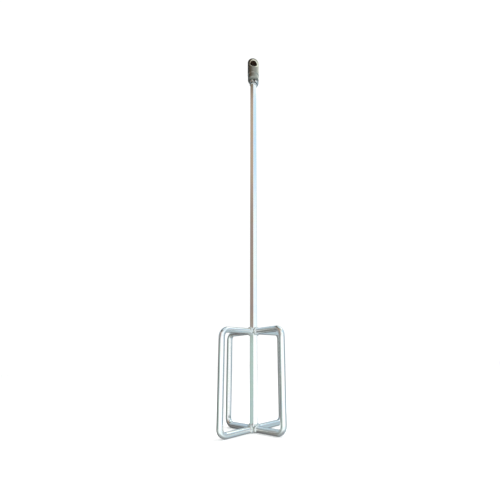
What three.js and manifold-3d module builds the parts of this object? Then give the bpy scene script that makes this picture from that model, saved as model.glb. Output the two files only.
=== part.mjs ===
// A mortar mixing paddle: a hexagonal shaft, a cage of four bent-rod loops welded to it,
// and a round, cross-drilled drive shank welded on its upper end.
// Millimetres, +Z up the shaft, origin on the axis at the height of the cage's lowest line.

import * as THREE from 'three';
import { mergeVertices } from 'three/addons/utils/BufferGeometryUtils.js';
import Module from 'manifold-3d';

const wasm = await Module();
wasm.setup();

// Driving dimensions
const TOTAL_LENGTH = 600;
const HEX_ACROSS_FLATS = 10;
const SHAFT_FOOT = 1; // height of the shaft's lower end above the cage's lowest line
const HEX_TURN = THREE.MathUtils.degToRad(18.3); // direction of one corner of the hexagon
const ROD_DIAMETER = 8;
const CAGE_DIAMETER = 115; // over the outside of the rods
const CAGE_HEIGHT = 135; // over the outside of the rods
const BEND_RADIUS = 9; // of a rod's centreline at its corners
const SHANK_LENGTH = 40.5;
const SHANK_LOWER_DIAMETER = 18.4;
const SHANK_UPPER_DIAMETER = 19.2;
const SHANK_UPPER_LENGTH = 29; // the slightly wider stretch, measured down from the top
const SHANK_TOP_ROUNDING = 1.8;
const SHANK_BOTTOM_CHAMFER = 2;
const PIN_HOLE_DIAMETER = 12;
const PIN_HOLE_DROP = 11; // from the top of the shank to the centre of the hole
const PIN_HOLE_TURN = THREE.MathUtils.degToRad(-38); // direction the hole faces
const GAP = 0.3; // between touching pieces
const OVERRUN = 20; // how far a cutting shape runs past what it cuts

// Sides used for round shapes
const ROD_SIDES = 12;
const BEND_STEPS = 7;
const ROUND_SIDES = 36;
const ROUNDING_STEPS = 4;
const BEAD_SIDES = 16;
const BEAD_RINGS = 10;

// Sizes that follow from them
const rodRadius = ROD_DIAMETER / 2;
const hexCornerRadius = HEX_ACROSS_FLATS / Math.sqrt(3);
const loopRadius = CAGE_DIAMETER / 2 - rodRadius;
const lowerArmZ = rodRadius;
const upperArmZ = CAGE_HEIGHT - rodRadius;
const rodStart = hexCornerRadius + GAP;
const shankBottom = TOTAL_LENGTH - SHANK_LENGTH;
const shaftTop = shankBottom - GAP;

const zinc = { color: 0xcfd8d8, roughness: 0.32, metalness: 1.0 };
const weldMetal = { color: 0xc4cccb, roughness: 0.45, metalness: 1.0 };
const shankSteel = { color: 0x7f8078, roughness: 0.6, metalness: 0.8 };

const paddle = new THREE.Group();

function addPiece(name, geometry, finish, parent = paddle) {
  const mesh = new THREE.Mesh(geometry, new THREE.MeshStandardMaterial(finish));
  mesh.name = name;
  parent.add(mesh);
  return mesh;
}

// Booleans: a closed geometry becomes a solid, and a solid becomes a geometry again.
function toSolid(geometry) {
  const bare = geometry.clone();
  bare.deleteAttribute('normal');
  bare.deleteAttribute('uv');
  const merged = mergeVertices(bare, 1e-4);
  return new wasm.Manifold(new wasm.Mesh({
    numProp: 3,
    vertProperties: new Float32Array(merged.attributes.position.array),
    triVerts: new Uint32Array(merged.index.array),
  }));
}

function toGeometry(solid) {
  const { vertProperties, triVerts } = solid.getMesh();
  const geometry = new THREE.BufferGeometry();
  geometry.setAttribute('position', new THREE.BufferAttribute(vertProperties, 3));
  geometry.setIndex(new THREE.BufferAttribute(triVerts, 1));
  return geometry;
}

// A hexagonal bar along Z, with its corners turned as the shaft's are.
function hexagonBar(acrossFlats, bottom, top) {
  const corner = acrossFlats / Math.sqrt(3);
  const outline = new THREE.Shape();
  for (let i = 0; i < 6; i += 1) {
    const angle = HEX_TURN + (i * Math.PI) / 3;
    const step = i === 0 ? 'moveTo' : 'lineTo';
    outline[step](corner * Math.cos(angle), corner * Math.sin(angle));
  }
  const bar = new THREE.ExtrudeGeometry(outline, { depth: top - bottom, bevelEnabled: false });
  return bar.translate(0, 0, bottom);
}

// The centreline of one cage rod in the XZ plane: out along the lower arm, up the side bar
// and back along the upper arm, with steps only where it bends.
class RodPath extends THREE.Curve {
  constructor() {
    super();
    this.points = [];
    this.tangents = [];
    this.addPoint(rodStart, lowerArmZ, 0);
    this.addBend(loopRadius - BEND_RADIUS, lowerArmZ + BEND_RADIUS, 0);
    this.addBend(loopRadius - BEND_RADIUS, upperArmZ - BEND_RADIUS, Math.PI / 2);
    this.addPoint(rodStart, upperArmZ, Math.PI);
  }

  addPoint(x, z, heading) {
    this.points.push(new THREE.Vector3(x, 0, z));
    this.tangents.push(new THREE.Vector3(Math.cos(heading), 0, Math.sin(heading)));
  }

  addBend(centreX, centreZ, startHeading) {
    for (let i = 0; i <= BEND_STEPS; i += 1) {
      const heading = startHeading + (i / BEND_STEPS) * (Math.PI / 2);
      const x = centreX + BEND_RADIUS * Math.sin(heading);
      const z = centreZ - BEND_RADIUS * Math.cos(heading);
      this.addPoint(x, z, heading);
    }
  }

  get steps() {
    return this.points.length - 1;
  }

  getPointAt(u, target = new THREE.Vector3()) {
    return target.copy(this.points[Math.round(u * this.steps)]);
  }

  getTangentAt(u, target = new THREE.Vector3()) {
    return target.copy(this.tangents[Math.round(u * this.steps)]);
  }
}

// A near-round outline whose flats, one of them straight down, lie at the radius given.
function roundSection(radius, sides) {
  const corner = radius / Math.cos(Math.PI / sides);
  const section = new THREE.Shape();
  for (let i = 0; i < sides; i += 1) {
    const angle = ((i + 0.5) / sides) * 2 * Math.PI;
    const step = i === 0 ? 'moveTo' : 'lineTo';
    section[step](corner * Math.cos(angle), corner * Math.sin(angle));
  }
  return section;
}

function cageRod() {
  const path = new RodPath();
  const section = roundSection(rodRadius, ROD_SIDES);
  return new THREE.ExtrudeGeometry(section, { steps: path.steps, extrudePath: path });
}

// An egg-shaped bead of weld metal, before its neighbours are cut from it.
function bead(x, z, radial, sideways, upright) {
  const egg = new THREE.SphereGeometry(1, BEAD_SIDES, BEAD_RINGS);
  egg.scale(radial, upright, sideways);
  egg.rotateX(Math.PI / 2);
  egg.translate(x, 0, z);
  return toSolid(egg);
}

// The shaft with its clearance, seen from a piece that is turned by turn about the axis.
function shaftClearance(turn) {
  const bar = hexagonBar(HEX_ACROSS_FLATS + 2 * GAP, -OVERRUN, TOTAL_LENGTH + OVERRUN);
  return toSolid(bar.rotateZ(-turn));
}

function rodClearance(armZ) {
  const rod = new THREE.CylinderGeometry(rodRadius + GAP, rodRadius + GAP, loopRadius, ROUND_SIDES);
  rod.rotateZ(Math.PI / 2);
  rod.translate(loopRadius / 2, 0, armZ);
  return toSolid(rod);
}

// The weld round one end of a rod. The lower ones sit over the rod, clear of the ground.
const topWeld = { x: 7.2, rise: 0, radial: 3.2, sideways: 5.8, upright: 5.8 };
const bottomWeld = { x: 7.2, rise: 2.2, radial: 3.2, sideways: 5.8, upright: 5.6 };

function hubWeld(armZ, size, turn) {
  const egg = bead(size.x, armZ + size.rise, size.radial, size.sideways, size.upright);
  return toGeometry(egg.subtract(shaftClearance(turn)).subtract(rodClearance(armZ)));
}

// The shank's outline, from the axis at its lower end to the axis at its upper end.
function shankProfile() {
  const lower = SHANK_LOWER_DIAMETER / 2;
  const upper = SHANK_UPPER_DIAMETER / 2;
  const shoulder = TOTAL_LENGTH - SHANK_UPPER_LENGTH;
  const profile = [
    new THREE.Vector2(0, shankBottom),
    new THREE.Vector2(lower - SHANK_BOTTOM_CHAMFER, shankBottom),
    new THREE.Vector2(lower, shankBottom + SHANK_BOTTOM_CHAMFER),
    new THREE.Vector2(lower, shoulder - (upper - lower)),
    new THREE.Vector2(upper, shoulder),
  ];
  for (let i = 0; i <= ROUNDING_STEPS; i += 1) {
    const angle = (i / ROUNDING_STEPS) * (Math.PI / 2);
    profile.push(new THREE.Vector2(
      upper - SHANK_TOP_ROUNDING * (1 - Math.cos(angle)),
      TOTAL_LENGTH - SHANK_TOP_ROUNDING * (1 - Math.sin(angle)),
    ));
  }
  profile.push(new THREE.Vector2(0, TOTAL_LENGTH));
  return profile;
}

// The round hole right through the shank, for a locking pin.
function pinHole() {
  const radius = PIN_HOLE_DIAMETER / 2;
  const drill = new THREE.CylinderGeometry(radius, radius, 2 * SHANK_UPPER_DIAMETER, ROUND_SIDES);
  drill.rotateZ(Math.PI / 2);
  drill.rotateZ(PIN_HOLE_TURN);
  drill.translate(0, 0, TOTAL_LENGTH - PIN_HOLE_DROP);
  return toSolid(drill);
}

function driveShank() {
  const round = new THREE.LatheGeometry(shankProfile(), ROUND_SIDES).rotateX(Math.PI / 2);
  return toGeometry(toSolid(round).subtract(pinHole()));
}

// The two runs of weld under the shank, a heavy one and a light one.
const shankWelds = [
  { name: 'shank_weld_heavy', turn: 8, x: 5.4, drop: 3.6, radial: 3.6, sideways: 6.4, upright: 7 },
  { name: 'shank_weld_light', turn: -102, x: 5, drop: 3.6, radial: 2, sideways: 5.4, upright: 5.2 },
];

function shankWeld(size, turn) {
  const egg = bead(size.x, shankBottom - size.drop, size.radial, size.sideways, size.upright);
  const belowShank = egg.trimByPlane([0, 0, -1], -shaftTop);
  return toGeometry(belowShank.subtract(shaftClearance(turn)));
}

addPiece('drive_shaft', hexagonBar(HEX_ACROSS_FLATS, SHAFT_FOOT, shaftTop), zinc);

['right', 'back', 'left', 'front'].forEach((side, i) => {
  const arm = new THREE.Group();
  const turn = (i * Math.PI) / 2;
  arm.rotation.z = turn;
  paddle.add(arm);
  addPiece(`cage_rod_${side}`, cageRod(), zinc, arm);
  addPiece(`top_weld_${side}`, hubWeld(upperArmZ, topWeld, turn), weldMetal, arm);
  addPiece(`bottom_weld_${side}`, hubWeld(lowerArmZ, bottomWeld, turn), weldMetal, arm);
});

addPiece('drive_shank', driveShank(), shankSteel);

shankWelds.forEach((size) => {
  const turn = THREE.MathUtils.degToRad(size.turn);
  addPiece(size.name, shankWeld(size, turn), weldMetal).rotation.z = turn;
});

export default paddle;
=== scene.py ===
"""The looks of a mortar mixing paddle: zinc-plated hexagonal shaft and cage of bent rods, with
weld beads and a dull, cross-drilled drive shank. Metres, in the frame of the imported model."""

import math

import bmesh
import bpy
from mathutils import Matrix, Vector, noise


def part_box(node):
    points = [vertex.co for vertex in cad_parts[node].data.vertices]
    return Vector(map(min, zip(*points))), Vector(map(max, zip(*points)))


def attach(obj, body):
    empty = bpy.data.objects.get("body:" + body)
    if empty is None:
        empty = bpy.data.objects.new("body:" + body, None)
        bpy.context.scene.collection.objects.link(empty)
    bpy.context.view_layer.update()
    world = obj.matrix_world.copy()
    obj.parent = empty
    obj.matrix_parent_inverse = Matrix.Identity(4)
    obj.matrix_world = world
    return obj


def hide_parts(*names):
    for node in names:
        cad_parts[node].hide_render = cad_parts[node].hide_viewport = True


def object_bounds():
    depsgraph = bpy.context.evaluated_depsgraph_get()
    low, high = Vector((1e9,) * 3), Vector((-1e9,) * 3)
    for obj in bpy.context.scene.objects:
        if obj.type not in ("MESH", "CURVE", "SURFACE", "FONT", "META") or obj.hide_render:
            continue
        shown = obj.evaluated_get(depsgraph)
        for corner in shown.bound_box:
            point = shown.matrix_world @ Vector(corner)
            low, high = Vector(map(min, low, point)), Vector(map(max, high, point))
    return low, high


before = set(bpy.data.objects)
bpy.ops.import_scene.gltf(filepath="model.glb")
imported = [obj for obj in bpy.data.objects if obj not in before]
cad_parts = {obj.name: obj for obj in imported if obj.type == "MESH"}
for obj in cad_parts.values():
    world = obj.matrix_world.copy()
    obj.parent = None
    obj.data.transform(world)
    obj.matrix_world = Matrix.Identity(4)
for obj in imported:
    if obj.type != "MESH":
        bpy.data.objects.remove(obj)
cad_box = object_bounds()

MM = 0.001
BODY = "root"
SIDES = {"right": 0, "back": 90, "left": 180, "front": 270}  # direction of each loop, in degrees

# The photographed view: where the camera stands and how it is aimed
VIEW_AZIMUTH = math.radians(40.52)
VIEW_DISTANCE = 423.2 * MM
VIEW_SIDESTEP = 56.8 * MM  # to the camera's own right
VIEW_HEIGHT = 90 * MM
VIEW_PITCH = math.radians(12.87)
VIEW_ROLL = math.radians(-1.77)
VIEW_LENS_MM = 21.59
VIEW_SHIFT = (-0.0854, 0.0831)
SENSOR_MM = 36
SIGHT_AZIMUTH = VIEW_AZIMUTH + math.atan2(VIEW_SIDESTEP, VIEW_DISTANCE)  # from camera to shaft

# Stock sizes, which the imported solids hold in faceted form
HEX_ACROSS_FLATS = 10 * MM
HEX_TURN = math.radians(18.3)
HEX_EDGE_RADIUS = 1 * MM
HEX_FLAT_MARGIN = 0.12 * MM  # from a corner's rounding to the flat's own end points
SHAFT_END_CHAMFER = 0.8 * MM
SHAFT_END_SCALE = 0.88  # of the chamfered end's outline
ROD_RADIUS = 4 * MM
BEND_RADIUS = 9 * MM
BEND_FLATTENING = 0.035  # how far a rod's section shrinks in its bends, as a fraction
BEND_SPREADING = 0.012  # and how far it widens sideways
SHANK_LOWER_RADIUS = 9.2 * MM
SHANK_UPPER_RADIUS = 9.6 * MM
SHANK_UPPER_LENGTH = 29 * MM
SHANK_SHOULDER = 1.2 * MM  # height over which the lower stretch widens into the upper one
SHANK_TOP_ROUNDING = 1.8 * MM
SHANK_BOTTOM_CHAMFER = 2 * MM
PIN_HOLE_RADIUS = 6 * MM
PIN_HOLE_TURN = math.radians(-38)
PIN_HOLE_DROP = 11 * MM
PIN_HOLE_FLARE = 1.5 * MM  # how much wider the hole is where it breaks the surface
PIN_HOLE_PLAIN_DEPTH = 8.6 * MM  # from the axis to where the flare begins
DRILL_REACH = 14 * MM

# Welds. The hub welds run round a rod's end from one angle to another, in so many drops. The
# shank welds are laid in runs, each with its first and last direction in degrees, its count,
# radius, drop below the shank, half-sizes (along, outwards, across) and lean; their grooves
# are (radius, width) pairs.
HUB_RUNS = {"top": (-100, 260, 22), "bottom": (-28, 208, 15)}
HUB_WELD_X = 6.6 * MM
HUB_WELD_STANDOFF = 0.5 * MM  # of the drops' centres from the rod's surface
HUB_DROP = (0.95 * MM, 1.35 * MM, 2.0 * MM)
HUB_VOXEL = 0.28 * MM
SHANK_VOXEL = 0.3 * MM
SMOOTHING_ROUNDS = 2
DROP_WOBBLE = 0.12  # how much the drops vary in size, as a fraction
DROP_WANDER = 0.5 * MM  # how far a hub weld's drops stray along the rod
RUN_LEAN = 0.3
HEAVY_RUNS = [
    (20, 66, 6, 7.8 * MM, 1.6 * MM, (1.2 * MM, 1.2 * MM, 1.7 * MM)),
    (-8, 64, 8, 6.4 * MM, 4.0 * MM, (1.3 * MM, 1.9 * MM, 2.8 * MM)),
    (-28, 52, 6, 5.2 * MM, 7.4 * MM, (1.4 * MM, 1.9 * MM, 2.8 * MM)),
]
HEAVY_GROOVES = [(8.5 * MM, 0.35 * MM), (7.0 * MM, 0.4 * MM)]
LIGHT_RUNS = [
    (-140, -62, 9, 5.0 * MM, 1.4 * MM, (1.2 * MM, 0.8 * MM, 1.7 * MM)),
    (-140, -58, 9, 5.0 * MM, 4.2 * MM, (1.2 * MM, 0.9 * MM, 2.0 * MM)),
    (-132, -50, 8, 5.0 * MM, 7.0 * MM, (1.2 * MM, 1.3 * MM, 2.2 * MM)),
]
LIGHT_GROOVES = [(6.2 * MM, 0.3 * MM)]

# How far from a weld the zinc is stained by its heat: fully up to one distance, fading out
# by the other
SHAFT_HEAT = (4 * MM, 22 * MM)
ROD_HEAT = (10 * MM, 26 * MM)

# Mesh fineness
SHAFT_RING_SPACING = 3 * MM
ROD_RING_SPACING = 2.5 * MM
ROD_SIDES = 36
BEND_STEPS = 14
SHANK_SIDES = 128
DRILL_SIDES = 64
ROUNDING_STEPS = 6

FLOOR_DROP = 0.2 * MM  # below the lowest line of the cage

shaft_low, shaft_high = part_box("drive_shaft")
rod_low, rod_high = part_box("cage_rod_right")
shank_low, shank_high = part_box("drive_shank")
LOOP_RADIUS = rod_high.x - ROD_RADIUS
LOWER_ARM_Z = rod_low.z + ROD_RADIUS
UPPER_ARM_Z = rod_high.z - ROD_RADIUS


# Mesh helpers

def finish_piece(name, bm, material, nodes):
    """Makes the mesh an object that rides on the body and stands for its CAD nodes."""
    mesh = bpy.data.meshes.new(name)
    bm.normal_update()
    bm.to_mesh(mesh)
    bm.free()
    for face in mesh.polygons:
        face.use_smooth = True
    mesh.materials.append(material)
    piece = bpy.data.objects.new(name, mesh)
    bpy.context.scene.collection.objects.link(piece)
    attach(piece, BODY)
    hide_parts(*nodes)
    return piece


def apply_modifiers(piece):
    """Bakes the piece's modifiers into its mesh."""
    graph = bpy.context.evaluated_depsgraph_get()
    made = bpy.data.meshes.new_from_object(piece.evaluated_get(graph))
    old = piece.data
    piece.modifiers.clear()
    piece.data = made
    bpy.data.meshes.remove(old)


def skin(bm, rings):
    """Joins equal rings of vertices into a tube with closed ends."""
    count = len(rings[0])
    for low, high in zip(rings, rings[1:]):
        for i in range(count):
            j = (i + 1) % count
            bm.faces.new((low[i], low[j], high[j], high[i]))
    bm.faces.new(list(reversed(rings[0])))
    bm.faces.new(rings[-1])


def smoothstep(low, high, value):
    t = max(0.0, min(1.0, (value - low) / (high - low)))
    return t * t * (3 - 2 * t)


# Shaft

def hexagon_outline(across_flats, edge_radius, steps=4):
    """A hexagon with rounded corners, as (x, y) points. Each flat has a point close to either
    end, which keeps the shading of the flat level."""
    corner = across_flats / math.sqrt(3)
    inset = corner - edge_radius / math.cos(math.radians(30))
    points = []
    for k in range(6):
        middle = HEX_TURN + math.radians(60 * k)
        centre = Vector((math.cos(middle), math.sin(middle))) * inset
        arc = []
        for i in range(steps + 1):
            angle = middle + math.radians(60 * (i / steps - 0.5))
            arc.append(centre + Vector((math.cos(angle), math.sin(angle))) * edge_radius)
        side = Vector((math.sin(middle - math.pi / 6), -math.cos(middle - math.pi / 6)))
        points.append(arc[0] + side * HEX_FLAT_MARGIN)
        points.extend(arc)
        side = Vector((-math.sin(middle + math.pi / 6), math.cos(middle + math.pi / 6)))
        points.append(arc[-1] + side * HEX_FLAT_MARGIN)
    return points


def weld_heat(z):
    """How strongly the bar was heated by welding at this height, from 0 to 1."""
    hubs = (LOWER_ARM_Z, UPPER_ARM_Z, shank_low.z)
    return max(1 - smoothstep(*SHAFT_HEAT, abs(z - hub)) for hub in hubs)


def make_shaft(material):
    bm = bmesh.new()
    stock = bm.verts.layers.float_vector.new("stock")
    heat = bm.verts.layers.float.new("heat")
    outline = hexagon_outline(HEX_ACROSS_FLATS, HEX_EDGE_RADIUS)
    low, high = shaft_low.z + SHAFT_END_CHAMFER, shaft_high.z - SHAFT_END_CHAMFER
    count = int((shaft_high.z - shaft_low.z) / SHAFT_RING_SPACING)
    levels = [(shaft_low.z, SHAFT_END_SCALE)]
    levels += [(low + (high - low) * i / count, 1.0) for i in range(count + 1)]
    levels.append((shaft_high.z, SHAFT_END_SCALE))
    rings = []
    for z, scale in levels:
        ring = []
        for x, y in outline:
            vert = bm.verts.new((x * scale, y * scale, z))
            vert[stock] = (x, y, z)
            vert[heat] = weld_heat(z)
            ring.append(vert)
        rings.append(ring)
    skin(bm, rings)
    return finish_piece("hex_shaft", bm, material, ["drive_shaft"])


# Cage rods

def rod_stations():
    """(place, heading, how much it is bent) along a rod's centreline in the XZ plane, from
    one inner end to the other."""
    start = HEX_ACROSS_FLATS / 2
    inner = LOOP_RADIUS - BEND_RADIUS
    stations = []

    def straight(x0, z0, x1, z1, heading):
        count = max(1, int(math.hypot(x1 - x0, z1 - z0) / ROD_RING_SPACING))
        for i in range(count):
            t = i / count
            stations.append((Vector((x0 + (x1 - x0) * t, 0, z0 + (z1 - z0) * t)), heading, 0.0))

    def bend(centre_z, first_heading):
        for i in range(BEND_STEPS):
            heading = first_heading + math.pi / 2 * i / BEND_STEPS
            x = inner + BEND_RADIUS * math.sin(heading)
            z = centre_z - BEND_RADIUS * math.cos(heading)
            stations.append((Vector((x, 0, z)), heading, math.sin(math.pi * i / BEND_STEPS)))

    lower_bend, upper_bend = LOWER_ARM_Z + BEND_RADIUS, UPPER_ARM_Z - BEND_RADIUS
    straight(start, LOWER_ARM_Z, inner, LOWER_ARM_Z, 0.0)
    bend(lower_bend, 0.0)
    straight(LOOP_RADIUS, lower_bend, LOOP_RADIUS, upper_bend, math.pi / 2)
    bend(upper_bend, math.pi / 2)
    straight(inner, UPPER_ARM_Z, start, UPPER_ARM_Z, math.pi)
    stations.append((Vector((start, 0, UPPER_ARM_Z)), math.pi, 0.0))
    return stations


def make_rod(side, material):
    bm = bmesh.new()
    stock = bm.verts.layers.float_vector.new("stock")
    heat = bm.verts.layers.float.new("heat")
    turn = Matrix.Rotation(math.radians(SIDES[side]), 4, "Z")
    rings = []
    run = SIDES[side] * MM  # length along the rod, which starts apart on each
    last = None
    for place, heading, bent in rod_stations():
        run += (place - last).length if last else 0
        last = place
        across = Vector((math.sin(heading), 0, -math.cos(heading)))  # points out of the bend
        ring = []
        for i in range(ROD_SIDES):
            angle = 2 * math.pi * i / ROD_SIDES
            u, v = math.cos(angle), math.sin(angle)
            flat = ROD_RADIUS * (1 - BEND_FLATTENING * bent)
            wide = ROD_RADIUS * (1 + BEND_SPREADING * bent)
            offset = across * (u * flat) + Vector((0, v * wide, 0))
            vert = bm.verts.new(turn @ (place + offset))
            vert[stock] = (u * ROD_RADIUS, v * ROD_RADIUS, run)
            vert[heat] = 1 - smoothstep(*ROD_HEAT, place.x)
            ring.append(vert)
        rings.append(ring)
    skin(bm, rings)
    bmesh.ops.recalc_face_normals(bm, faces=bm.faces)
    return finish_piece(f"bent_rod_{side}", bm, material, [f"cage_rod_{side}"])


# Welds: overlapping flattened drops along the run of the torch, melted into one bead

def add_drop(bm, centre, along, out, sizes, seed):
    """One drop: sizes are its half-sizes along the run, outwards and across."""
    across = along.cross(out).normalized()
    out = across.cross(along).normalized()
    frame_of_drop = Matrix((along, out, across)).transposed().to_4x4()
    wobble = 1 + DROP_WOBBLE * noise.noise(Vector((seed * 3.7, seed * 1.3, 0.5)))
    scale = Matrix.Diagonal((*[s * wobble for s in sizes], 1))
    place = Matrix.Translation(centre) @ frame_of_drop @ scale
    bmesh.ops.create_icosphere(bm, subdivisions=3, radius=1, matrix=place)


def melt(piece, voxel):
    """Joins a piece's overlapping drops into one skin."""
    remesh = piece.modifiers.new("melt", "REMESH")
    remesh.mode = "VOXEL"
    remesh.voxel_size = voxel
    remesh.use_smooth_shade = True
    smooth = piece.modifiers.new("soften", "SMOOTH")
    smooth.iterations = SMOOTHING_ROUNDS
    smooth.factor = 0.5
    apply_modifiers(piece)


def make_hub_weld(side, level, material):
    bm = bmesh.new()
    turn = Matrix.Rotation(math.radians(SIDES[side]), 4, "Z")
    arm_z = UPPER_ARM_Z if level == "top" else LOWER_ARM_Z
    first, last, count = HUB_RUNS[level]
    ring_radius = ROD_RADIUS + HUB_WELD_STANDOFF
    for i in range(count):
        angle = math.radians(first + (last - first) * i / (count - 1))
        seed = i + 40 * list(SIDES).index(side) + (500 if level == "top" else 0)
        lift = 1 + DROP_WOBBLE * noise.noise(Vector((seed * 0.9, 2.1, 0.3)))
        x = HUB_WELD_X + DROP_WANDER * noise.noise(Vector((seed * 1.7, 0.4, 6.0)))
        place = Vector((x, ring_radius * math.cos(angle), arm_z + ring_radius * math.sin(angle)))
        along = Vector((0, -math.sin(angle), math.cos(angle)))
        out = Vector((0, math.cos(angle), math.sin(angle)))
        length, height, width = HUB_DROP
        add_drop(bm, place, along, out, (length, height * lift, width), seed)
    bmesh.ops.transform(bm, matrix=turn, verts=bm.verts)
    piece = finish_piece(f"{level}_bead_{side}", bm, material, [f"{level}_weld_{side}"])
    melt(piece, HUB_VOXEL)
    return piece


def mark_grooves(piece, grooves):
    """Marks the grooves of a weld that runs round the shaft, each a (radius, width); the weld is
    painted dark there as shade in its creases.
    """
    mesh = piece.data
    painted_groove_shade = mesh.attributes.new("painted_groove_shade", "FLOAT", "POINT")
    for vert, mark in zip(mesh.vertices, painted_groove_shade.data):
        radius = math.hypot(vert.co.x, vert.co.y)
        mark.value = max(math.exp(-(((radius - at) / width) ** 2)) for at, width in grooves)


def make_shank_weld(name, cad_node, runs, grooves, material):
    """A fillet under the shank, laid in runs of drops."""
    bm = bmesh.new()
    seed = 900 + len(name)
    for first, last, count, radius, drop, sizes in runs:
        for i in range(count):
            seed += 1
            angle = math.radians(first + (last - first) * i / (count - 1))
            out = Vector((math.cos(angle), math.sin(angle), 0))
            round_shaft = Vector((-math.sin(angle), math.cos(angle), 0))
            rise = Vector((0, 0, math.sin(RUN_LEAN)))
            along = (round_shaft * math.cos(RUN_LEAN) + rise).normalized()
            place = out * radius + Vector((0, 0, shank_low.z - drop))
            add_drop(bm, place, along, out, sizes, seed)
    piece = finish_piece(name, bm, material, [cad_node])
    melt(piece, SHANK_VOXEL)
    mark_grooves(piece, grooves)
    return piece


# Shank

def revolve(bm, profile, sides):
    """Turns a (radius, z) profile, which leaves out its ends on the axis, into a closed body."""
    rings = []
    for radius, z in profile:
        ring = []
        for i in range(sides):
            angle = 2 * math.pi * i / sides
            ring.append(bm.verts.new((radius * math.cos(angle), radius * math.sin(angle), z)))
        rings.append(ring)
    skin(bm, rings)
    bmesh.ops.recalc_face_normals(bm, faces=bm.faces)


def make_drill():
    """The cross drill, wider where it breaks the outer surface."""
    hole, flare = PIN_HOLE_RADIUS, PIN_HOLE_RADIUS + PIN_HOLE_FLARE
    depth = PIN_HOLE_PLAIN_DEPTH
    flared = depth + PIN_HOLE_FLARE
    bm = bmesh.new()
    profile = [(flare, -DRILL_REACH), (flare, -flared), (hole, -depth),
               (hole, depth), (flare, flared), (flare, DRILL_REACH)]
    revolve(bm, profile, DRILL_SIDES)
    place = Matrix.Translation((0, 0, shank_high.z - PIN_HOLE_DROP))
    place = place @ Matrix.Rotation(PIN_HOLE_TURN, 4, "Z") @ Matrix.Rotation(math.pi / 2, 4, "Y")
    bmesh.ops.transform(bm, matrix=place, verts=bm.verts)
    mesh = bpy.data.meshes.new("pin_drill")
    bm.to_mesh(mesh)
    bm.free()
    drill = bpy.data.objects.new("pin_drill", mesh)
    bpy.context.scene.collection.objects.link(drill)
    return drill


def make_shank(material):
    low, high = shank_low.z, shank_high.z
    lower, upper = SHANK_LOWER_RADIUS, SHANK_UPPER_RADIUS
    chamfer, rounding = SHANK_BOTTOM_CHAMFER, SHANK_TOP_ROUNDING
    shoulder = high - SHANK_UPPER_LENGTH
    profile = [(lower - chamfer, low), (lower, low + chamfer),
               (lower, shoulder - SHANK_SHOULDER), (upper, shoulder)]
    for i in range(ROUNDING_STEPS + 1):
        angle = math.pi / 2 * i / ROUNDING_STEPS
        radius = upper - rounding * (1 - math.cos(angle))
        profile.append((radius, high - rounding * (1 - math.sin(angle))))
    bm = bmesh.new()
    revolve(bm, profile, SHANK_SIDES)
    piece = finish_piece("shank_body", bm, material, ["drive_shank"])
    drill = make_drill()
    cut = piece.modifiers.new("pin_hole", "BOOLEAN")
    cut.operation = "DIFFERENCE"
    cut.solver = "EXACT"
    cut.object = drill
    apply_modifiers(piece)
    bpy.data.objects.remove(drill)
    melt(piece, SHANK_VOXEL)
    return piece


# Materials

def new_material(name):
    material = bpy.data.materials.new(name)
    material.use_nodes = True
    tree = material.node_tree
    return material, tree, tree.nodes["Principled BSDF"]


def node(tree, kind, **settings):
    made = tree.nodes.new(kind)
    for key, value in settings.items():
        if hasattr(made, key):
            setattr(made, key, value)
        else:
            made.inputs[key].default_value = value
    return made


def stretched(tree, source, scale):
    """The source vector scaled apart along its axes."""
    mapping = node(tree, "ShaderNodeMapping")
    mapping.inputs["Scale"].default_value = scale
    tree.links.new(source, mapping.inputs["Vector"])
    return mapping.outputs["Vector"]


def noise_of(tree, vector, scale, detail=4.0, roughness=0.55):
    made = node(tree, "ShaderNodeTexNoise", Scale=scale, Detail=detail, Roughness=roughness)
    tree.links.new(vector, made.inputs["Vector"])
    return made.outputs["Fac"]


def ramp(tree, value, stops):
    made = node(tree, "ShaderNodeValToRGB")
    elements = made.color_ramp.elements
    while len(elements) < len(stops):
        elements.new(0.5)
    for element, (place, colour) in zip(elements, stops):
        element.position = place
        element.color = (*colour, 1)
    tree.links.new(value, made.inputs["Fac"])
    return made.outputs["Color"]


def remap(tree, value, low, high, to_low=0.0, to_high=1.0):
    made = node(tree, "ShaderNodeMapRange")
    for key, number in zip(("From Min", "From Max", "To Min", "To Max"), (low, high, to_low, to_high)):
        made.inputs[key].default_value = number
    tree.links.new(value, made.inputs["Value"])
    return made.outputs["Result"]


def mix(tree, amount, a, b):
    """Mixes two colours, each a socket or an (r, g, b)."""
    made = node(tree, "ShaderNodeMix", data_type="RGBA")
    for key, value in ((6, a), (7, b)):
        if isinstance(value, tuple):
            made.inputs[key].default_value = (*value, 1)
        else:
            tree.links.new(value, made.inputs[key])
    tree.links.new(amount, made.inputs[0])
    return made.outputs[2]


def maths(tree, operation, *values):
    made = node(tree, "ShaderNodeMath", operation=operation)
    for key, value in enumerate(values):
        if isinstance(value, (int, float)):
            made.inputs[key].default_value = value
        else:
            tree.links.new(value, made.inputs[key])
    return made.outputs["Value"]


def bump(tree, shader, height, strength, distance):
    made = node(tree, "ShaderNodeBump", Strength=strength, Distance=distance)
    tree.links.new(height, made.inputs["Height"])
    tree.links.new(made.outputs["Normal"], shader.inputs["Normal"])


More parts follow.
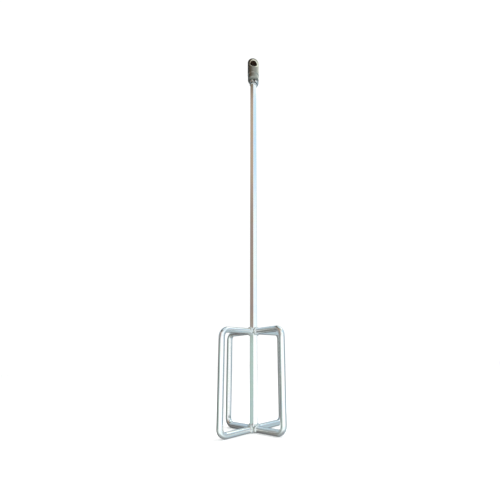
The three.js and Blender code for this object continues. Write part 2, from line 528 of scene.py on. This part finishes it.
def zinc_plate():
    """Bright zinc with faint blue, green and straw tints, drawing lines along the bar and
    heat marks at the welds."""
    material, tree, shader = new_material("zinc_plate")
    place = node(tree, "ShaderNodeTexCoord").outputs["Object"]
    stock = node(tree, "ShaderNodeAttribute", attribute_name="stock").outputs["Vector"]
    heat = node(tree, "ShaderNodeAttribute", attribute_name="heat").outputs["Fac"]
    tints = ramp(tree, noise_of(tree, place, 40, 2), [
        (0.30, (0.86, 0.90, 0.94)), (0.44, (0.91, 0.92, 0.94)),
        (0.56, (0.89, 0.93, 0.91)), (0.70, (0.93, 0.91, 0.88)),
    ])
    cloud = remap(tree, noise_of(tree, place, 300, 4), 0.45, 0.8)
    colour = mix(tree, maths(tree, "MULTIPLY", cloud, 0.2), tints, (0.72, 0.76, 0.77))
    grime = remap(tree, noise_of(tree, place, 900, 3), 0.66, 0.8)
    colour = mix(tree, maths(tree, "MULTIPLY", grime, 0.4), colour, (0.45, 0.44, 0.41))
    patchy = remap(tree, noise_of(tree, place, 260, 4), 0.35, 0.65)
    patchy = maths(tree, "MULTIPLY", heat, patchy)
    colour = mix(tree, maths(tree, "MULTIPLY", patchy, 0.4), colour, (0.66, 0.66, 0.60))
    tree.links.new(colour, shader.inputs["Base Color"])
    shader.inputs["Metallic"].default_value = 1.0
    lines = noise_of(tree, stretched(tree, stock, (1, 1, 0.01)), 1500, 3, 0.5)
    rough = remap(tree, lines, 0.3, 0.7, 0.08, 0.13)
    rough = maths(tree, "ADD", rough, maths(tree, "MULTIPLY", cloud, 0.04))
    rough = maths(tree, "ADD", rough, maths(tree, "MULTIPLY", patchy, 0.12))
    tree.links.new(rough, shader.inputs["Roughness"])
    pits = maths(tree, "MULTIPLY", grime, -0.5)
    bump(tree, shader, maths(tree, "ADD", lines, pits), 0.15, 0.00005)
    return material


def weld_zinc():
    """Zinc over rippled weld metal, with painted shade darkening the grooves between its passes."""
    material, tree, shader = new_material("weld_zinc")
    place = node(tree, "ShaderNodeTexCoord").outputs["Object"]
    tints = ramp(tree, noise_of(tree, place, 300, 4), [
        (0.32, (0.76, 0.84, 0.86)), (0.50, (0.88, 0.90, 0.90)), (0.66, (0.82, 0.87, 0.80)),
    ])
    painted_groove_shade = node(tree, "ShaderNodeAttribute", attribute_name="painted_groove_shade").outputs["Fac"]
    soot = remap(tree, noise_of(tree, place, 700, 4), 0.55, 0.78)
    colour = mix(tree, maths(tree, "MULTIPLY", soot, 0.5), tints, (0.36, 0.34, 0.31))
    # Painted shade: the grooves between weld passes are darkened almost to black
    colour = mix(tree, painted_groove_shade, colour, (0.045, 0.06, 0.06))
    tree.links.new(colour, shader.inputs["Base Color"])
    shader.inputs["Metallic"].default_value = 1.0
    tree.links.new(remap(tree, soot, 0, 1, 0.12, 0.4), shader.inputs["Roughness"])
    bump(tree, shader, noise_of(tree, place, 2000, 3), 0.3, 0.0001)
    return material


def shank_steel():
    """Dull grey-olive steel, with a bright ring of wear round the pin hole that is partly a painted
    highlight, dark and rusty within the hole with painted shade there too, and a little painted shade
    on its underside.
    """
    material, tree, shader = new_material("shank_steel")
    place = node(tree, "ShaderNodeTexCoord").outputs["Object"]
    base = ramp(tree, noise_of(tree, place, 110, 3), [
        (0.34, (0.28, 0.275, 0.24)), (0.50, (0.32, 0.32, 0.285)), (0.66, (0.36, 0.365, 0.33)),
    ])
    scale_marks = remap(tree, noise_of(tree, place, 800, 4), 0.56, 0.78)
    colour = mix(tree, maths(tree, "MULTIPLY", scale_marks, 0.22), base, (0.17, 0.16, 0.13))
    from_axis, from_hole, height = shank_distances(tree, place)
    # Painted shade: the bottom chamfer and end of the shank are darkened a little, as shade on the
    # underside
    under = remap(tree, height, SHANK_BOTTOM_CHAMFER + 0.4 * MM, SHANK_BOTTOM_CHAMFER - 0.4 * MM)
    colour = mix(tree, maths(tree, "MULTIPLY", under, 0.1), colour, (0.10, 0.095, 0.075))
    # Bright cream ring round the pin hole: partly wear, partly a painted highlight standing in for
    # light caught by the hole's edge
    rim_wear_and_highlight = remap(tree, from_hole, PIN_HOLE_RADIUS + 1.8 * MM, PIN_HOLE_RADIUS + 0.9 * MM)
    rim_patchiness = remap(tree, noise_of(tree, place, 350, 3), 0.3, 0.5, 0.6, 1.0)
    colour = mix(tree, maths(tree, "MULTIPLY", rim_wear_and_highlight, rim_patchiness), colour, (0.86, 0.83, 0.68))
    # Near-black brown within the pin hole: partly rusty steel, partly painted shade of the deep recess
    hole_rust_and_shade = remap(tree, from_hole, PIN_HOLE_RADIUS + 0.5 * MM, PIN_HOLE_RADIUS + 0.1 * MM)
    deep = remap(tree, from_axis, 9.5 * MM, 9.0 * MM)
    hole_rust_and_shade = maths(tree, "MULTIPLY", hole_rust_and_shade, deep)
    rust_and_shade_colour = ramp(tree, noise_of(tree, place, 420, 4), [
        (0.35, (0.018, 0.006, 0.003)), (0.65, (0.07, 0.036, 0.014)),
    ])
    colour = mix(tree, hole_rust_and_shade, colour, rust_and_shade_colour)
    tree.links.new(colour, shader.inputs["Base Color"])
    tree.links.new(remap(tree, hole_rust_and_shade, 0, 1, 1.0, 0.1), shader.inputs["Metallic"])
    rough = remap(tree, scale_marks, 0, 1, 0.22, 0.34)
    rough = maths(tree, "ADD", rough, maths(tree, "MULTIPLY", hole_rust_and_shade, 0.3))
    tree.links.new(rough, shader.inputs["Roughness"])
    bump(tree, shader, noise_of(tree, place, 900, 4), 0.25, 0.0001)
    return material


def shank_distances(tree, place):
    """Distances of a point from the shank's axis, from the centreline of its pin hole and
    from its lower end."""
    split = node(tree, "ShaderNodeSeparateXYZ")
    tree.links.new(place, split.inputs[0])
    x, y, z = split.outputs
    across = maths(
        tree, "ADD",
        maths(tree, "MULTIPLY", x, -math.sin(PIN_HOLE_TURN)),
        maths(tree, "MULTIPLY", y, math.cos(PIN_HOLE_TURN)),
    )
    rise = maths(tree, "SUBTRACT", z, shank_high.z - PIN_HOLE_DROP)
    height = maths(tree, "SUBTRACT", z, shank_low.z)
    return length_of(tree, x, y), length_of(tree, across, rise), height


def length_of(tree, a, b):
    squares = maths(
        tree, "ADD", maths(tree, "MULTIPLY", a, a), maths(tree, "MULTIPLY", b, b),
    )
    return maths(tree, "SQRT", squares)


# Studio

# What polished metal sees round about. Each ring holds (bearing, colour) pairs: bearing 0 is
# straight in front of the paddle, -90 its left, 90 its right and 180 behind it.
GROUND_RING = [
    (-180, (0.10, 0.10, 0.10)), (-140, (0.10, 0.10, 0.10)), (-105, (0.24, 0.24, 0.23)),
    (-70, (0.46, 0.51, 0.50)), (-20, (1.05, 1.12, 1.12)), (40, (1.05, 1.14, 1.18)),
    (80, (0.56, 0.68, 0.74)), (130, (0.40, 0.50, 0.56)), (165, (0.24, 0.27, 0.30)),
    (180, (0.10, 0.10, 0.10)),
]
CAGE_RING = [
    (-180, (0.40, 0.42, 0.43)), (-120, (0.22, 0.22, 0.22)), (-90, (0.10, 0.095, 0.09)),
    (-76, (0.28, 0.31, 0.30)), (-64, (0.48, 0.62, 0.58)), (-54, (0.48, 0.62, 0.58)),
    (-44, (0.34, 0.36, 0.36)), (-30, (1.20, 1.22, 1.22)), (62, (1.20, 1.20, 1.22)),
    (72, (0.82, 0.90, 0.94)), (85, (0.42, 0.55, 0.63)), (108, (0.20, 0.28, 0.33)),
    (135, (0.40, 0.49, 0.55)), (180, (0.40, 0.42, 0.43)),
]
SHAFT_RING = [
    (-180, (0.30, 0.37, 0.42)), (-120, (0.40, 0.50, 0.55)), (-85, (0.30, 0.29, 0.28)),
    (-66, (0.36, 0.275, 0.235)), (-46, (0.36, 0.275, 0.235)), (-26, (0.75, 0.72, 0.70)),
    (0, (1.10, 1.10, 1.10)), (56, (1.02, 1.10, 1.10)), (66, (0.84, 1.00, 1.08)),
    (80, (0.52, 0.54, 0.58)), (120, (0.55, 0.72, 0.86)), (180, (0.30, 0.37, 0.42)),
]
HIGH_RING = [
    (-180, (0.44, 0.58, 0.68)), (-120, (0.48, 0.62, 0.70)), (-88, (0.40, 0.38, 0.35)),
    (-68, (0.52, 0.38, 0.285)), (-46, (0.52, 0.38, 0.285)), (-25, (0.80, 0.76, 0.74)),
    (10, (1.00, 1.02, 1.04)), (52, (0.64, 0.86, 1.02)), (70, (0.64, 0.88, 1.04)),
    (92, (0.60, 0.82, 0.98)), (180, (0.44, 0.58, 0.68)),
]
SHANK_RING = [
    (-180, (0.10, 0.09, 0.07)), (-130, (0.035, 0.025, 0.014)), (-85, (0.06, 0.05, 0.032)),
    (-50, (0.17, 0.155, 0.12)), (-10, (0.42, 0.41, 0.365)), (30, (0.74, 0.75, 0.70)),
    (70, (1.12, 1.15, 1.08)), (125, (1.70, 1.72, 1.60)), (180, (0.8, 0.8, 0.7)),
]
OVERHEAD = (0.62, 0.76, 0.84)
NADIR = (0.36, 0.38, 0.39)


def studio_world():
    """White to the camera and to matt surfaces, while metal sees the rings one above another."""
    world = bpy.data.worlds.new("studio")
    bpy.context.scene.world = world
    world.use_nodes = True
    tree = world.node_tree
    back = tree.nodes["Background"]
    turned = node(tree, "ShaderNodeMapping", vector_type="POINT")
    turned.inputs["Rotation"].default_value = (0, 0, -SIGHT_AZIMUTH)
    generated = node(tree, "ShaderNodeTexCoord").outputs["Generated"]
    tree.links.new(generated, turned.inputs["Vector"])
    split = node(tree, "ShaderNodeSeparateXYZ")
    tree.links.new(turned.outputs["Vector"], split.inputs[0])
    right, away, up = split.outputs
    angle = maths(tree, "ARCTAN2", right, maths(tree, "MULTIPLY", away, -1.0))
    bearing = maths(tree, "ADD", maths(tree, "DIVIDE", angle, 2 * math.pi), 0.5)

    def ring(stops):
        return ramp(tree, bearing, [(0.5 + degrees / 360, colour) for degrees, colour in stops])

    seen = mix(tree, remap(tree, up, -0.95, -0.6), NADIR, ring(GROUND_RING))
    for low, high, stops in (
        (-0.30, -0.20, CAGE_RING), (0.07, 0.11, SHAFT_RING),
        (0.46, 0.58, HIGH_RING), (0.715, 0.735, SHANK_RING),
    ):
        seen = mix(tree, remap(tree, up, low, high), seen, ring(stops))
    seen = mix(tree, remap(tree, up, 0.86, 0.97), seen, OVERHEAD)
    glossy = node(tree, "ShaderNodeLightPath").outputs["Is Glossy Ray"]
    tree.links.new(mix(tree, glossy, (1.05, 1.05, 1.05), seen), back.inputs["Color"])
    back.inputs["Strength"].default_value = 1.0


def pale_floor():
    bm = bmesh.new()
    bmesh.ops.create_grid(bm, x_segments=8, y_segments=8, size=6)
    mesh = bpy.data.meshes.new("floor")
    bm.to_mesh(mesh)
    bm.free()
    floor = bpy.data.objects.new("floor", mesh)
    floor.location.z = cad_box[0].z - FLOOR_DROP
    bpy.context.scene.collection.objects.link(floor)
    material, _, shader = new_material("pale_floor")
    shader.inputs["Base Color"].default_value = (0.97, 0.97, 0.97, 1)
    shader.inputs["Roughness"].default_value = 0.9
    shader.inputs["Specular IOR Level"].default_value = 0.1
    mesh.materials.append(material)
    floor.visible_glossy = False


def softbox(name, bearing, elevation, distance, size, energy, colour):
    """A square area light aimed at the middle of the paddle, bearing 0 being in front of it."""
    light = bpy.data.lights.new(name, "AREA")
    light.size = size
    light.energy = energy
    light.color = colour
    lamp = bpy.data.objects.new(name, light)
    angle = SIGHT_AZIMUTH + math.radians(bearing)
    rise = math.radians(elevation)
    out = Vector((math.sin(angle) * math.cos(rise), -math.cos(angle) * math.cos(rise), math.sin(rise)))
    lamp.location = Vector((0, 0, 0.3)) + out * distance
    lamp.rotation_euler = out.to_track_quat("Z", "Y").to_euler()
    lamp.visible_glossy = False
    bpy.context.scene.collection.objects.link(lamp)


def make_camera():
    data = bpy.data.cameras.new("camera")
    data.lens = VIEW_LENS_MM
    data.sensor_width = SENSOR_MM
    data.clip_start = 0.01
    data.shift_x, data.shift_y = VIEW_SHIFT
    camera = bpy.data.objects.new("camera", data)
    back = Vector((math.sin(VIEW_AZIMUTH), -math.cos(VIEW_AZIMUTH), 0))
    right = Vector((math.cos(VIEW_AZIMUTH), math.sin(VIEW_AZIMUTH), 0))
    camera.location = back * VIEW_DISTANCE + right * VIEW_SIDESTEP + Vector((0, 0, VIEW_HEIGHT))
    aim = Matrix.Rotation(VIEW_AZIMUTH, 3, "Z") @ Matrix.Rotation(math.pi / 2 + VIEW_PITCH, 3, "X")
    aim = aim @ Matrix.Rotation(VIEW_ROLL, 3, "Z")
    camera.rotation_euler = aim.to_euler()
    bpy.context.scene.collection.objects.link(camera)
    bpy.context.scene.camera = camera


zinc, weld, steel = zinc_plate(), weld_zinc(), shank_steel()
make_shaft(zinc)
for side_name in SIDES:
    make_rod(side_name, zinc)
    make_hub_weld(side_name, "top", weld)
    make_hub_weld(side_name, "bottom", weld)
make_shank(steel)
make_shank_weld("shank_bead_heavy", "shank_weld_heavy", HEAVY_RUNS, HEAVY_GROOVES, weld)
make_shank_weld("shank_bead_light", "shank_weld_light", LIGHT_RUNS, LIGHT_GROOVES, weld)

studio_world()
pale_floor()
softbox("key", 55, 35, 1.6, 1.0, 14, (0.93, 0.98, 1.0))
softbox("fill", -35, 20, 1.8, 1.2, 8, (1.0, 0.98, 0.95))
bpy.context.scene.view_settings.view_transform = "Standard"
make_camera()
